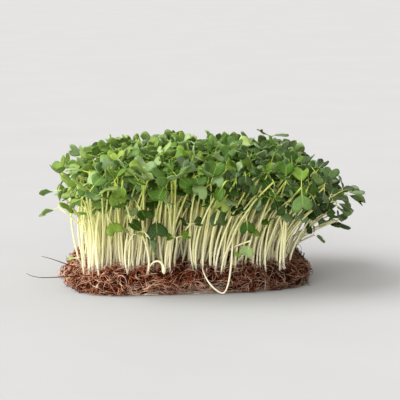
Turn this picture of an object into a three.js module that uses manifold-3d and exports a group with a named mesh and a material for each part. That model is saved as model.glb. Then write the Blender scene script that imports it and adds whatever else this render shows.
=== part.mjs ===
// A block of brassica microgreens standing on the mat of coconut fibre that it was grown on.
// Millimetres, +Z up, X along the block's long side, -Y its front.
// The origin is the middle of the mat's underside.

import * as THREE from "three";
import { mergeVertices } from "three/addons/utils/BufferGeometryUtils.js";
import Module from "manifold-3d";

const wasm = await Module();
wasm.setup();

// Driving dimensions, in millimetres and radians

const mat = {
  length: 142,
  depth: 90,
  thickness: 15,
  cornerPower: 3.7, // of the superellipse that is its outline
  bulge: 1.6, // swelling of the sides at mid height
  ragged: 1.1, // unevenness of the outline
  relief: 0.9, // unevenness of the top
  rimDrop: 2.4, // rounding of the top at its rim
  endWear: 8, // fall of the top towards the worn left end
  wornLength: 14, // and how far in it starts
  cells: [12, 7, 2],
};

// The clumps of roots, in rows that stand between each other's columns and bend in at the corners
const crown = {
  columns: 8,
  rows: 4,
  reachX: 60.5, // of the outermost clumps' middles
  reachY: 34,
  shiftX: [-0.375, 0.125, -0.125, 0.375], // of each row, in columns
  shiftY: 0.22, // of every other column, in rows
  bend: 0.1,
  jitter: 1.2,
  radius: 4.2,
  sides: 6,
  top: 1.4, // both below the mat's top
  bottom: 8,
  clearance: 1,
};

const canopy = {
  spreadX: 68.5, // reach of the sprouts' tips from the middle
  spreadY: 46,
  lean: 8.5, // of the whole stand, to the right
  height: 64, // of the tallest tips above the mat
  endDrop: [8, 20], // to the left and the right
  sideDrop: 8,
  dropPower: 4,
  fan: [5, 10], // from a clump's middle to its tips
  wander: 0.5, // of a tip's direction from the middle
  step: 0.065, // between a clump's sprouts, as a share of the height
  uneven: [-4, 1], // of the heights
  perClump: 4, // and one more for each side of the stand that it is on
};

const stem = {
  half: 0.6, // of its width
  corners: [
    [1, -1],
    [1, 1],
    [-1, 1],
    [-1, -1],
  ],
  steps: 3,
  spacing: 2.6, // from a clump's middle
  sunk: 3.8,
  rise: 0.5, // share of the height at which the curve's control point stands
  sway: 4,
};

const leaf = {
  length: 9.6, // of the blade, without its petiole
  width: 11.6,
  petiole: 4,
  petioleHalf: 0.45,
  thickness: 0.75,
  widest: 0.5, // share of the length where it is widest
  lobe: 0.95, // and where its lobes end
  lobeWidth: 0.64, // share of the width there
  notch: 0.24, // depth between the lobes, as a share of the length
  cup: 0.9, // rise of the edges
  droop: 1.5, // of the lobes
  second: 0.84, // size of a pair's smaller leaf
  size: [0.82, 1.08],
  raise: [0.1, 0.75],
  twist: 0.35,
};

// Room between two sprouts, wished for and least, how far apart tips are when none is looked for,
// and the points of a sprout that are tested
const room = { gap: 2.1, least: 1.6, near: 32, tries: 100, stemStep: 1.7, along: 5, across: 3 };

const fibre = {
  radius: 0.5,
  sides: 3,
  steps: 3,
  count: 14, // loops round the sides
  rooted: 0.9, // where a loop's ends and its middle lie, as shares of the mat's half size
  out: 1.09,
  turn: [0.1, 0.22],
  low: [4, 9.5],
  cover: 4.5, // from a loop up to the top, at least
};

// Sprouts that stand out of the rest: their clump, the place of the tip, and how the leaves stand
const strays = [
  { column: 0, row: 1, tip: [-77, -8, 47], turn: 3.3, raise: [0.1, 1.0], size: 0.95 },
  { column: 0, row: 2, tip: [-76, 6, 55], turn: 3.0, raise: [0.2, 0.9], size: 0.85 },
  { column: 7, row: 2, tip: [97, 2, 50], turn: 0.2, raise: [0.7, 0.9], size: 0.95 },
  { column: 7, row: 3, tip: [85, 34, 54], turn: 0.5, raise: [0.3, 0.6], size: 0.9 },
  { column: 7, row: 0, tip: [83, -30, 50], turn: -0.3, raise: [0.2, 0.6], size: 1 },
  { column: 7, row: 1, tip: [75, -14, 27], turn: 0.1, raise: [0.2, 1.2], size: 0.6 },
  { column: 6, row: 2, tip: [55, 18, 83], turn: 0.15, raise: [0.5, 0.45], size: 0.8 },
  { column: 5, row: 0, tip: [29, -54, 32], turn: 1.3, raise: [0.3, -0.5], size: 0.9 },
  { column: 5, row: 0, tip: [27, -50, 46], turn: -1.4, raise: [-0.6, 0.3], size: 0.8 },
  { column: 2, row: 0, tip: [-31, -53, 37], turn: 2.6, raise: [0.6, -0.9], size: 0.95 },
  { column: 2, row: 0, tip: [-36, -51, 54], turn: 1.9, raise: [0.4, -0.4], size: 1.1 },
  { column: 3, row: 0, tip: [-6, -51, 42], turn: 0.2, raise: [0.2, 0.5], size: 0.6 },
];
const strayTwist = [0.2, -0.2];

// Long fibres that stand out of the mat's ends, as the control points of their curves
const threads = [
  [[-60, -22, 7], [-73, -25, 11], [-90, -27, 6], [-98, -28, 12]],
  [[-60, -8, 8], [-71, -11, 12], [-80, -12, 17], [-88, -13, 19]],
  [[64, 14, 10], [72, 16, 15], [76, 17, 20], [77, 18, 25]],
];

// Seeded draws of the minimal standard generator, so that every build is alike

let seed = 20731;

function between(low, high) {
  seed = (seed * 16807) % 2147483647;
  return low + ((high - low) * seed) / 2147483647;
}

// Where the clumps and the sprouts stand

function clumpCentres() {
  const centres = [];
  const lastRow = crown.rows - 1;
  const lastColumn = crown.columns - 1;
  const halfX = lastColumn / 2 + Math.max(...crown.shiftX);
  const halfY = lastRow / 2 + crown.shiftY;
  for (let row = 0; row <= lastRow; row++) {
    for (let column = 0; column <= lastColumn; column++) {
      const shiftY = column % 2 ? crown.shiftY : -crown.shiftY;
      const u = (column + crown.shiftX[row] - lastColumn / 2) / halfX;
      const v = (row + shiftY - lastRow / 2) / halfY;
      const x = u * crown.reachX * (1 - crown.bend * v * v) + between(-crown.jitter, crown.jitter);
      const y = v * crown.reachY * (1 - crown.bend * u * u) + between(-crown.jitter, crown.jitter);
      const sides = (row % lastRow ? 0 : 1) + (column % lastColumn ? 0 : 1);
      const count = canopy.perClump + sides;
      centres.push({ u, v, x, y, count, turn: between(0, 2 * Math.PI), sprouts: [] });
    }
  }
  return centres;
}

function sproutOf(clump, index, tip, turn, raise, twist, size, sway) {
  const angle = clump.turn + (index * 2 * Math.PI) / clump.count;
  const x = clump.x + stem.spacing * Math.cos(angle);
  const y = clump.y + stem.spacing * Math.sin(angle);
  const root = new THREE.Vector3(x, y, mat.thickness - stem.sunk);
  const middle = new THREE.Vector3(x + sway[0], y + sway[1], root.z + stem.rise * (tip.z - root.z));
  return { root, middle, tip, turn, raise, twist, size };
}

function stemPoint(sprout, t) {
  const point = sprout.root.clone().multiplyScalar((1 - t) ** 2);
  return point.addScaledVector(sprout.middle, 2 * t * (1 - t)).addScaledVector(sprout.tip, t * t);
}

// The frame of one leaf of a pair: X out along the blade, Y across it, Z out of its upper face
function leafFrame(sprout, side) {
  const up = sprout.tip.clone().sub(sprout.middle).normalize();
  up.add(new THREE.Vector3(0, 0, 1)).normalize();
  const east = new THREE.Vector3(1 - up.x * up.x, -up.x * up.y, -up.x * up.z).normalize();
  const north = up.clone().cross(east);
  const turn = sprout.turn + side * Math.PI;
  const rise = sprout.raise[side];
  const twist = sprout.twist[side];
  const out = east.clone().multiplyScalar(Math.cos(turn)).addScaledVector(north, Math.sin(turn));
  const across = north.clone().multiplyScalar(Math.cos(turn)).addScaledVector(east, -Math.sin(turn));
  const along = out.clone().multiplyScalar(Math.cos(rise)).addScaledVector(up, Math.sin(rise));
  const face = up.clone().multiplyScalar(Math.cos(rise)).addScaledVector(out, -Math.sin(rise));
  const tilted = across.clone().multiplyScalar(Math.cos(twist)).addScaledVector(face, Math.sin(twist));
  const normal = face.clone().multiplyScalar(Math.cos(twist)).addScaledVector(across, -Math.sin(twist));
  return new THREE.Matrix4().makeBasis(along, tilted, normal).setPosition(sprout.tip);
}

function leafSize(sprout, side) {
  return sprout.size * (side ? leaf.second : 1);
}

// The height of a blade over its own plane, t along it and s across it: cupped, its lobes drooping
function bladeRise(t, s, size) {
  return size * (leaf.cup * s * s * Math.min(1, 2 * t) - leaf.droop * t * t);
}

function halfWidth(t) {
  const widest = leaf.width / 2;
  if (t < leaf.widest) return leaf.petioleHalf + (widest - leaf.petioleHalf) * (t / leaf.widest);
  return widest * (1 - ((1 - leaf.lobeWidth) * (t - leaf.widest)) / (leaf.lobe - leaf.widest));
}

// Points on a sprout's stem, petioles and blades, to keep others clear of
function samplesOf(sprout) {
  const points = [];
  const steps = Math.ceil(sprout.tip.distanceTo(sprout.root) / room.stemStep);
  for (let i = Math.ceil(steps / 10); i <= steps; i++) points.push(stemPoint(sprout, i / steps));
  for (const side of [0, 1]) {
    const frame = leafFrame(sprout, side);
    const size = leafSize(sprout, side);
    points.push(new THREE.Vector3((size * leaf.petiole) / 2, 0, 0).applyMatrix4(frame));
    for (let i = 0; i <= room.along; i++) {
      const t = i / room.along;
      for (let j = -room.across; j <= room.across; j++) {
        const s = j / room.across;
        const x = size * (leaf.petiole + t * leaf.length);
        const y = size * halfWidth(t) * s;
        points.push(new THREE.Vector3(x, y, bladeRise(t, s, size)).applyMatrix4(frame));
      }
    }
  }
  return points;
}

// The least distance from a sprout to those already standing, or 0 where it is too near to matter
function roomRound(samples, tip, standing) {
  let least = Infinity;
  for (const other of standing) {
    if (other.tip.distanceTo(tip) > room.near) continue;
    for (const p of samples) for (const q of other.samples) least = Math.min(least, p.distanceToSquared(q));
    if (least < 1) return 0;
  }
  return Math.sqrt(least);
}

function tipOf(clump, index) {
  const spoke = clump.turn + (index * 2 * Math.PI) / clump.count;
  const angle = spoke + between(-canopy.wander, canopy.wander);
  const reach = between(...canopy.fan);
  const endDrop = canopy.endDrop[clump.u < 0 ? 0 : 1] * Math.abs(clump.u) ** canopy.dropPower;
  const sideDrop = canopy.sideDrop * Math.abs(clump.v) ** canopy.dropPower;
  const height = (canopy.height - Math.hypot(endDrop, sideDrop)) * (1 - index * canopy.step);
  const x = clump.u * canopy.spreadX + canopy.lean + reach * Math.cos(angle);
  const y = clump.v * canopy.spreadY + reach * Math.sin(angle);
  return new THREE.Vector3(x, y, mat.thickness + height + between(...canopy.uneven));
}

function placeSprouts() {
  const clumps = clumpCentres();
  const standing = [];
  const plant = (clump, sprout, samples) => {
    clump.sprouts.push(sprout);
    standing.push({ tip: sprout.tip, samples });
  };
  for (const { column, row, tip, turn, raise, size } of strays) {
    const clump = clumps[row * crown.columns + column];
    const at = new THREE.Vector3(...tip);
    const sprout = sproutOf(clump, clump.sprouts.length, at, turn, raise, strayTwist, size, [0, 0]);
    plant(clump, sprout, samplesOf(sprout));
  }
  for (const clump of clumps) {
    for (let index = clump.sprouts.length; index < clump.count; index++) {
      let best = { gap: room.least };
      for (let i = 0; i < room.tries && best.gap < room.gap; i++) {
        const tip = tipOf(clump, index);
        const turn = between(0, 2 * Math.PI);
        const raise = [between(...leaf.raise), between(...leaf.raise)];
        const twist = [between(-leaf.twist, leaf.twist), between(-leaf.twist, leaf.twist)];
        const sway = [between(-stem.sway, stem.sway), between(-stem.sway, stem.sway)];
        const sprout = sproutOf(clump, index, tip, turn, raise, twist, between(...leaf.size), sway);
        const samples = samplesOf(sprout);
        const gap = roomRound(samples, tip, standing);
        if (gap > best.gap) best = { gap, sprout, samples };
      }
      if (best.sprout) plant(clump, best.sprout, best.samples);
    }
  }
  return clumps;
}

// Solids

function solidOf(geometry) {
  const bare = geometry.clone();
  bare.deleteAttribute("normal");
  bare.deleteAttribute("uv");
  const merged = mergeVertices(bare, 1e-4);
  const mesh = new wasm.Mesh({
    numProp: 3,
    vertProperties: merged.attributes.position.array,
    triVerts: new Uint32Array(merged.index.array),
  });
  return new wasm.Manifold(mesh);
}

function meshOf(solid, name, material) {
  const { vertProperties, triVerts } = solid.getMesh();
  const geometry = new THREE.BufferGeometry();
  geometry.setAttribute("position", new THREE.BufferAttribute(vertProperties, 3));
  geometry.setIndex(new THREE.BufferAttribute(triVerts, 1));
  geometry.computeVertexNormals();
  const mesh = new THREE.Mesh(geometry, material);
  mesh.name = name;
  return mesh;
}

function polygon(radius, sides) {
  const points = [];
  for (let i = 0; i < sides; i++) {
    const angle = (2 * Math.PI * i) / sides;
    points.push(new THREE.Vector2(radius * Math.cos(angle), radius * Math.sin(angle)));
  }
  return new THREE.Shape(points);
}

function tube(curve, radius, sides, steps) {
  const settings = { steps, extrudePath: curve, bevelEnabled: false };
  return solidOf(new THREE.ExtrudeGeometry(polygon(radius, sides), settings));
}

function prism(radius, low, high, x, y) {
  const settings = { depth: high - low, bevelEnabled: false };
  return solidOf(new THREE.ExtrudeGeometry(polygon(radius, crown.sides), settings).translate(x, y, low));
}

// The outline of a blade, from its petiole round the lobes and back, as shares of length and half width
const heart = [
  [leaf.widest, -1],
  [leaf.lobe, -leaf.lobeWidth],
  [1 - leaf.notch, 0],
  [leaf.lobe, leaf.lobeWidth],
  [leaf.widest, 1],
];

// A sprout is one skin: rings of four corners up the stem, which fork into two petioles and end in blades
function sproutSolid(sprout) {
  const points = [];
  const faces = [];
  const add = (point) => points.push(point) - 1;
  const triangle = (a, b, c) => faces.push(a, b, c);
  const quad = (a, b, c, d) => faces.push(a, b, c, a, c, d);

  const outwards = new THREE.Vector3(Math.cos(sprout.turn), Math.sin(sprout.turn), 0);
  const ring = (t) => {
    const along = stemPoint(sprout, t + 0.01).sub(stemPoint(sprout, t - 0.01)).normalize();
    const across = along.clone().cross(outwards).normalize();
    const out = across.clone().cross(along);
    return stem.corners.map(([x, y]) => {
      const corner = stemPoint(sprout, t).addScaledVector(out, x * stem.half);
      return add(corner.addScaledVector(across, y * stem.half));
    });
  };
  let top = ring(0);
  quad(top[3], top[2], top[1], top[0]);
  for (let i = 1; i <= stem.steps; i++) {
    const next = ring(i / stem.steps);
    for (let k = 0; k < 4; k++) quad(top[k], top[(k + 1) % 4], next[(k + 1) % 4], next[k]);
    top = next;
  }

  const frames = [leafFrame(sprout, 0), leafFrame(sprout, 1)];
  const leafPoint = (side, x, y, z) => {
    const size = leafSize(sprout, side);
    const t = Math.max(0, (x - leaf.petiole) / leaf.length);
    const rise = bladeRise(t, (2 * y) / leaf.width, size);
    return new THREE.Vector3(size * x, size * y, z + rise).applyMatrix4(frames[side]);
  };
  const half = leaf.thickness / 2;
  const saddle = [-1, 1].map((y) => {
    const near = leafPoint(0, 0, y * leaf.petioleHalf, half);
    return add(near.lerp(leafPoint(1, 0, -y * leaf.petioleHalf, half), 0.5));
  });
  triangle(top[1], top[2], saddle[1]);
  triangle(top[3], top[0], saddle[0]);

  for (const side of [0, 1]) {
    const outline = [
      [leaf.petiole, -leaf.petioleHalf],
      ...heart.map(([t, s]) => [leaf.petiole + t * leaf.length, (s * leaf.width) / 2]),
      [leaf.petiole, leaf.petioleHalf],
    ];
    const upper = outline.map(([x, y]) => add(leafPoint(side, x, y, half)));
    const lower = outline.map(([x, y]) => add(leafPoint(side, x, y, -half)));
    const last = outline.length - 1;
    const notch = last / 2;
    const [left, right] = side ? [saddle[1], saddle[0]] : saddle;
    const [start, end] = side ? [top[2], top[3]] : [top[0], top[1]];
    quad(start, end, lower[last], lower[0]);
    quad(left, upper[0], upper[last], right);
    quad(end, right, upper[last], lower[last]);
    quad(start, lower[0], upper[0], left);
    for (let i = 0; i < last; i++) {
      quad(lower[i], lower[i + 1], upper[i + 1], upper[i]);
      if (i === notch || i + 1 === notch) continue;
      triangle(upper[notch], upper[i], upper[i + 1]);
      triangle(lower[notch], lower[i + 1], lower[i]);
    }
    triangle(upper[notch], upper[last], upper[0]);
    triangle(lower[notch], lower[0], lower[last]);
  }
  return solidOf(new THREE.BufferGeometry().setFromPoints(points).setIndex(faces));
}

// A clump is its sprouts, sunk into the knot of their roots
function clumpSolid(clump) {
  const low = mat.thickness - crown.bottom;
  const knot = prism(crown.radius, low, mat.thickness - crown.top, clump.x, clump.y);
  return clump.sprouts.reduce((body, sprout) => body.add(sproutSolid(sprout)), knot);
}

// The mat

function topOfMat(x, y) {
  const dimples = Math.sin(x / 8.3 + 1.2) * Math.cos(y / 6.1);
  const swells = 0.7 * Math.sin(x / 17 - y / 11);
  return mat.thickness + mat.relief * (dimples + swells);
}

function wearAt(x) {
  return (mat.endWear * Math.max(0, mat.wornLength - mat.length / 2 - x)) / mat.wornLength;
}

function raggedRim(angle) {
  const waves = Math.sin(5 * angle + 0.6) + 0.7 * Math.sin(11 * angle + 2) + 0.5 * Math.sin(19 * angle);
  return mat.ragged * waves;
}

function norm(u, v) {
  return (Math.abs(u) ** mat.cornerPower + Math.abs(v) ** mat.cornerPower) ** (1 / mat.cornerPower);
}

function matSlab() {
  const slab = new THREE.BoxGeometry(2, 2, 1, ...mat.cells);
  const at = slab.attributes.position;
  for (let i = 0; i < at.count; i++) {
    const [u, v, level] = [at.getX(i), at.getY(i), at.getZ(i) + 0.5];
    const rim = Math.max(Math.abs(u), Math.abs(v));
    const pull = rim ? rim / norm(u, v) : 1;
    const angle = Math.atan2(v, u);
    const out = rim ** 3 * (raggedRim(angle) - mat.bulge * (2 * level - 1) ** 2);
    const x = (pull * u * mat.length) / 2 + Math.cos(angle) * out;
    const y = (pull * v * mat.depth) / 2 + Math.sin(angle) * out;
    at.setXYZ(i, x, y, level * (topOfMat(x, y) - mat.rimDrop * rim ** 6 - wearAt(x)));
  }
  return solidOf(slab);
}

function rimPoint(angle, share, z) {
  const [c, s] = [Math.cos(angle), Math.sin(angle)];
  const reach = share / norm(c, s);
  const x = (reach * c * mat.length) / 2;
  const highest = mat.thickness - wearAt(x) - fibre.cover;
  return new THREE.Vector3(x, (reach * s * mat.depth) / 2, Math.min(z, highest));
}

// Coarse fibres that loop out of the sides, and the long threads
function fibreCurves() {
  const curves = [];
  for (let i = 0; i < fibre.count; i++) {
    const start = (2 * Math.PI * i) / fibre.count + between(-0.1, 0.1);
    const turn = between(...fibre.turn);
    const low = between(...fibre.low);
    const lift = between(-2, 3);
    const first = rimPoint(start, fibre.rooted, low);
    const second = rimPoint(start + turn * 0.3, fibre.out, low + 1.5);
    const third = rimPoint(start + turn * 0.7, fibre.out, low + lift - 1);
    const last = rimPoint(start + turn, fibre.rooted, low + lift);
    curves.push(new THREE.CubicBezierCurve3(first, second, third, last));
  }
  for (const points of threads) {
    curves.push(new THREE.CubicBezierCurve3(...points.map((p) => new THREE.Vector3(...p))));
  }
  return curves;
}

function matSolid(clumps) {
  let body = matSlab();
  for (const curve of fibreCurves()) body = body.add(tube(curve, fibre.radius, fibre.sides, fibre.steps));
  for (const { x, y } of clumps) {
    const low = mat.thickness - crown.bottom - crown.clearance;
    body = body.subtract(prism(crown.radius + crown.clearance, low, 2 * mat.thickness, x, y));
  }
  return body;
}

// Assembly

const coir = new THREE.MeshStandardMaterial({ color: 0x6e4027, roughness: 0.95, metalness: 0 });
const green = new THREE.MeshStandardMaterial({ color: 0x6f9a45, roughness: 0.55, metalness: 0 });

const block = new THREE.Group();
const clumps = placeSprouts();
block.add(meshOf(matSolid(clumps), "coir_mat", coir));
clumps.forEach((clump, i) => {
  const name = "sprouts_" + String(i + 1).padStart(2, "0");
  block.add(meshOf(clumpSolid(clump), name, green));
});

export default block;
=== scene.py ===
# A block of brassica microgreens on its mat of coir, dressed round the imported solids.
# The stand is laid out in millimetres, as the solids are, and its meshes are made in metres.

import math
import random

import bmesh
import bpy
import numpy as np
from mathutils import Matrix, Vector, noise
from mathutils.kdtree import KDTree


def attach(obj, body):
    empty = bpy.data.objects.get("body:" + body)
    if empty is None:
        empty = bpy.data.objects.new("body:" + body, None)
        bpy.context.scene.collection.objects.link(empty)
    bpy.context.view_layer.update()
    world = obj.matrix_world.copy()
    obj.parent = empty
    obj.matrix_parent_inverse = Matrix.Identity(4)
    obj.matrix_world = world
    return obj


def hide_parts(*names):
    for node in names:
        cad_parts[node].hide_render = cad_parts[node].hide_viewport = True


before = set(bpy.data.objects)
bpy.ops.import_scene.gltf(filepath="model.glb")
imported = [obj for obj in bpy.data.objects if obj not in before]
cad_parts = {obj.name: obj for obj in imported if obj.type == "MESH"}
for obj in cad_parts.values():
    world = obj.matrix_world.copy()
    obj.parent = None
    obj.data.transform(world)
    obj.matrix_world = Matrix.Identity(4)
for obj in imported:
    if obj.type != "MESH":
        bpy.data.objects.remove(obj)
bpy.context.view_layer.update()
scene = bpy.context.scene
mm = 0.001

# Camera and stage

cameraSet = {"azimuth": -9.5, "elevation": 8.8, "distance": 1.1, "aim": (0.0084, 0, 0.048), "lens": 165}
floorSet = {"reach": 40, "cells": 8}
skySet = {"colour": (1.0, 0.955, 0.92), "strength": 0.76}
lampSet = [
    {"name": "window", "from": (-1.0, 0.12, 0.95), "spread": 46, "power": 3.3, "colour": (1.0, 1.0, 1.0)},
    {"name": "front", "from": (-0.7, -1.3, 0.6), "spread": 60, "power": 1.9, "colour": (1.0, 1.0, 0.97)},
]


def lookAt(thing, target):
    thing.rotation_euler = (Vector(target) - thing.location).to_track_quat("-Z", "Y").to_euler()


def placeCamera():
    lens = bpy.data.cameras.new("camera")
    lens.lens = cameraSet["lens"]
    camera = bpy.data.objects.new("camera", lens)
    azimuth, elevation = math.radians(cameraSet["azimuth"]), math.radians(cameraSet["elevation"])
    level = math.cos(elevation)
    back = Vector((math.sin(azimuth) * level, -math.cos(azimuth) * level, math.sin(elevation)))
    camera.location = Vector(cameraSet["aim"]) + back * cameraSet["distance"]
    lookAt(camera, cameraSet["aim"])
    scene.collection.objects.link(camera)
    scene.camera = camera


def hangLamps():
    for lamp in lampSet:
        light = bpy.data.lights.new(lamp["name"], "SUN")
        light.angle = math.radians(lamp["spread"])
        light.energy = lamp["power"]
        light.color = lamp["colour"]
        holder = bpy.data.objects.new(lamp["name"], light)
        holder.location = lamp["from"]
        lookAt(holder, (0, 0, 0))
        scene.collection.objects.link(holder)
    sky = bpy.data.worlds.new("sky")
    sky.use_nodes = True
    air = sky.node_tree.nodes["Background"]
    air.inputs["Color"].default_value = (*skySet["colour"], 1)
    air.inputs["Strength"].default_value = skySet["strength"]
    scene.world = sky
    scene.view_settings.view_transform = "Standard"


# Finishes

def tint(red, green, blue):  # a screen colour, as the shader's own numbers
    return (*(((c / 255 + 0.055) / 1.055) ** 2.4 if c > 10 else c / 3295 for c in (red, green, blue)), 1)


class Wire:
    # A socket of a finish: sums and products of wires add Math nodes
    def __init__(self, finish, socket):
        self.finish, self.socket = finish, socket

    def __add__(self, other):
        return self.finish.maths("ADD", self, other)

    def __sub__(self, other):
        return self.finish.maths("SUBTRACT", self, other)

    def __rsub__(self, other):
        return self.finish.maths("SUBTRACT", other, self)

    def __mul__(self, other):
        return self.finish.maths("MULTIPLY", self, other)

    __radd__, __rmul__ = __add__, __mul__


class Finish:
    def __init__(self, name, constants):
        self.material = bpy.data.materials.new(name)
        self.material.use_nodes = True
        self.nodes = self.material.node_tree.nodes
        self.links = self.material.node_tree.links
        self.shader = self.nodes["Principled BSDF"]
        for socket, value in constants.items():
            self.shader.inputs[socket].default_value = value

    def node(self, kind, settings, values, output=0):
        made = self.nodes.new(kind)
        for name, value in settings.items():
            if name == "stops":
                ramp = made.color_ramp
                ramp.elements.remove(ramp.elements[1])
                ramp.elements[0].position, ramp.elements[0].color = value[0]
                for position, colour in value[1:]:
                    ramp.elements.new(position).color = colour
            else:
                setattr(made, name, value)
        for name, value in values.items():
            self.feed(made.inputs[name], value)
        return Wire(self, made.outputs[output])

    def feed(self, socket, value):
        if isinstance(value, Wire):
            self.links.new(value.socket, socket)
        else:
            socket.default_value = value

    def shade(self, **values):
        for name, value in values.items():
            self.feed(self.shader.inputs[name.replace("_", " ")], value)

    def maths(self, operation, *values):
        return self.node("ShaderNodeMath", {"operation": operation}, dict(enumerate(values)))

    def attribute(self, name):
        return self.node("ShaderNodeAttribute", {"attribute_name": name}, {}, "Fac")

    def split(self, vector):  # its X, Y and Z
        parts = self.node("ShaderNodeSeparateXYZ", {}, {"Vector": vector}).socket.node
        return [Wire(self, parts.outputs[axis]) for axis in "XYZ"]

    def place(self, scale=(1, 1, 1)):  # object coordinates in millimetres, times scale
        at = self.node("ShaderNodeTexCoord", {}, {}, "Object")
        return self.node("ShaderNodeMapping", {}, {"Vector": at, "Scale": [s / mm for s in scale]})

    def cloud(self, at, size, detail=3, roughness=0.5):  # noise with lumps of a size in millimetres
        values = {"Vector": at, "Scale": 1 / size, "Detail": detail, "Roughness": roughness}
        return self.node("ShaderNodeTexNoise", {}, values, "Fac")

    def mix(self, share, a, b, blend="MIX"):
        settings = {"data_type": "RGBA", "blend_type": blend}
        return self.node("ShaderNodeMix", settings, {0: share, 6: a, 7: b}, 2)

    def ramp(self, factor, *stops):
        return self.node("ShaderNodeValToRGB", {"stops": stops}, {"Fac": factor}, "Color")

    def between(self, value, low, high, start=0, end=1):  # value from low to high as start to end, held there
        names = ("Value", "From Min", "From Max", "To Min", "To Max")
        values = dict(zip(names, (value, low, high, start, end)))
        return self.node("ShaderNodeMapRange", {"interpolation_type": "SMOOTHSTEP"}, values)

    def bump(self, height, depth, strength=0.6):
        values = {"Height": height, "Distance": depth * mm, "Strength": strength}
        return self.node("ShaderNodeBump", {}, values, "Normal")


def floorFinish():
    finish = Finish("floor_white", {"Roughness": 0.75})
    grain = finish.cloud(finish.place(), 90, 4)
    finish.shade(Base_Color=finish.ramp(grain, (0.3, tint(176, 177, 178)), (0.7, tint(179, 180, 181))))
    return finish


leafLook = {
    "patchSize": 3.2, "toneShare": 0.82, "patchShare": 0.22, "midrib": (0.012, 0.045),
    "midribEnd": (0.45, 0.8), "slant": 1.5, "ribGap": 0.11, "rib": (0.008, 0.024), "ribEnd": (0.3, 0.46),
    "ribShare": 0.55, "veinShare": 0.42, "underShare": 0.55, "wax": (0.25, 0.7), "roughness": (0.36, 0.2),
    "relief": 0.16,
}


def leafFinish():
    finish = Finish("leaf_green", {
        "Subsurface Weight": 0.2,
        "Subsurface Scale": 0.0008,
        "Subsurface Radius": (0.8, 1.0, 0.3),
        "Specular IOR Level": 0.2,
    })
    look = leafLook
    tone, under, wax = (finish.attribute(name) for name in ("tone", "under", "wax"))
    side, along, _ = finish.split(finish.node("ShaderNodeUVMap", {"uv_map": "leafPlan"}, {}, "UV"))
    across = finish.maths("ABSOLUTE", side - 0.5)
    patches = finish.cloud(finish.place(), look["patchSize"], 4, 0.6)
    green = finish.ramp(
        tone * look["toneShare"] + patches * look["patchShare"],
        (0.0, tint(13, 30, 1)),
        (0.3, tint(31, 63, 4)),
        (0.55, tint(66, 105, 14)),
        (0.78, tint(120, 148, 50)),
        (1.0, tint(178, 190, 94)),
    )
    midrib = finish.between(across, *look["midrib"], 1, 0) * finish.between(along, *look["midribEnd"], 1, 0)
    ribs = finish.maths("PINGPONG", along - across * look["slant"], look["ribGap"])
    sideVeins = finish.between(ribs, *look["rib"], 1, 0) * finish.between(across, *look["ribEnd"], 1, 0.1)
    veins = finish.maths("MAXIMUM", midrib, sideVeins * look["ribShare"])
    veined = finish.mix(veins * look["veinShare"], green, tint(150, 172, 82))
    pale = finish.mix(under * look["underShare"], veined, tint(140, 164, 92))
    leastWaxAndSheen, patchWaxAndSheen = look["wax"]
    smooth, patchRough = look["roughness"]
    # partly painted sheen: a pale blue-green waxy bloom on some leaves, which also stands in for the sky's
    # sheen on them
    finish.shade(
        Base_Color=finish.mix(wax * (leastWaxAndSheen + patches * patchWaxAndSheen), pale, tint(162, 186, 138)),
        Roughness=smooth + patches * patchRough,
        Normal=finish.bump(patches * 0.5 - veins, look["relief"]),
    )
    return finish


stemLook = {
    "foot": 12, "greening": 0.0135, "varying": 0.55, "blushFrom": (0.62, 0.78), "blush": 0.35,
    "paintedShadeFrom": (-10, 60), "shade": 0.88,
}


def stemFinish(name):  # cream at the foot, greener towards the leaves, and painted shade: a little darker at the right, away from the light
    finish = Finish(name, {
        "Subsurface Weight": 0.3,
        "Subsurface Scale": 0.0012,
        "Subsurface Radius": (1.0, 0.9, 0.4),
        "Roughness": 0.4,
        "Specular IOR Level": 0.35,
    })
    side, _, height = finish.split(finish.place())
    each = finish.cloud(finish.place((1, 1, 0.08)), 2.4, 2)
    colour = finish.ramp(
        (height - stemLook["foot"]) * stemLook["greening"] + (each - 0.5) * stemLook["varying"],
        (0.0, tint(245, 238, 208)),
        (0.25, tint(245, 240, 190)),
        (0.5, tint(235, 236, 158)),
        (0.72, tint(190, 206, 90)),
        (0.95, tint(116, 152, 40)),
    )
    blush = finish.between(finish.cloud(finish.place((1, 1, 0.2)), 5, 2), *stemLook["blushFrom"])
    blushed = finish.mix(blush * stemLook["blush"], colour, tint(206, 160, 128))
    # painted shade: darker towards the right, away from the light
    shade = finish.between(side, *stemLook["paintedShadeFrom"], 1, stemLook["shade"])
    streaks = finish.cloud(finish.place((1, 1, 0.1)), 0.35, 2)
    finish.shade(
        Base_Color=finish.mix(1.0, blushed, shade, "MULTIPLY"),
        Normal=finish.bump(streaks, 0.08, 0.4),
    )
    return finish


paintedShadeSet = {"from": -50, "to": 60, "share": 0.42}  # painted shade: the coir darkens to this share towards its right end, away from the light


def fibreFinish(name, dark, middle, bright, roughness=0.85):
    finish = Finish(name, {"Roughness": roughness, "Specular IOR Level": 0.12})
    at = finish.place()
    shade = finish.cloud(at, 4, 3) * 0.75 + finish.cloud(at, 26, 2) * 0.25
    colour = finish.ramp(shade, (0.32, dark), (0.5, middle), (0.68, bright))
    # painted shade: everything in this finish darkens towards the right
    paintedShade = finish.between(finish.split(at)[0], paintedShadeSet["from"], paintedShadeSet["to"], 1, paintedShadeSet["share"])
    finish.shade(
        Base_Color=finish.mix(1.0, colour, paintedShade, "MULTIPLY"),
        Normal=finish.bump(finish.cloud(at, 0.3, 2), 0.1),
    )
    return finish


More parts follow.
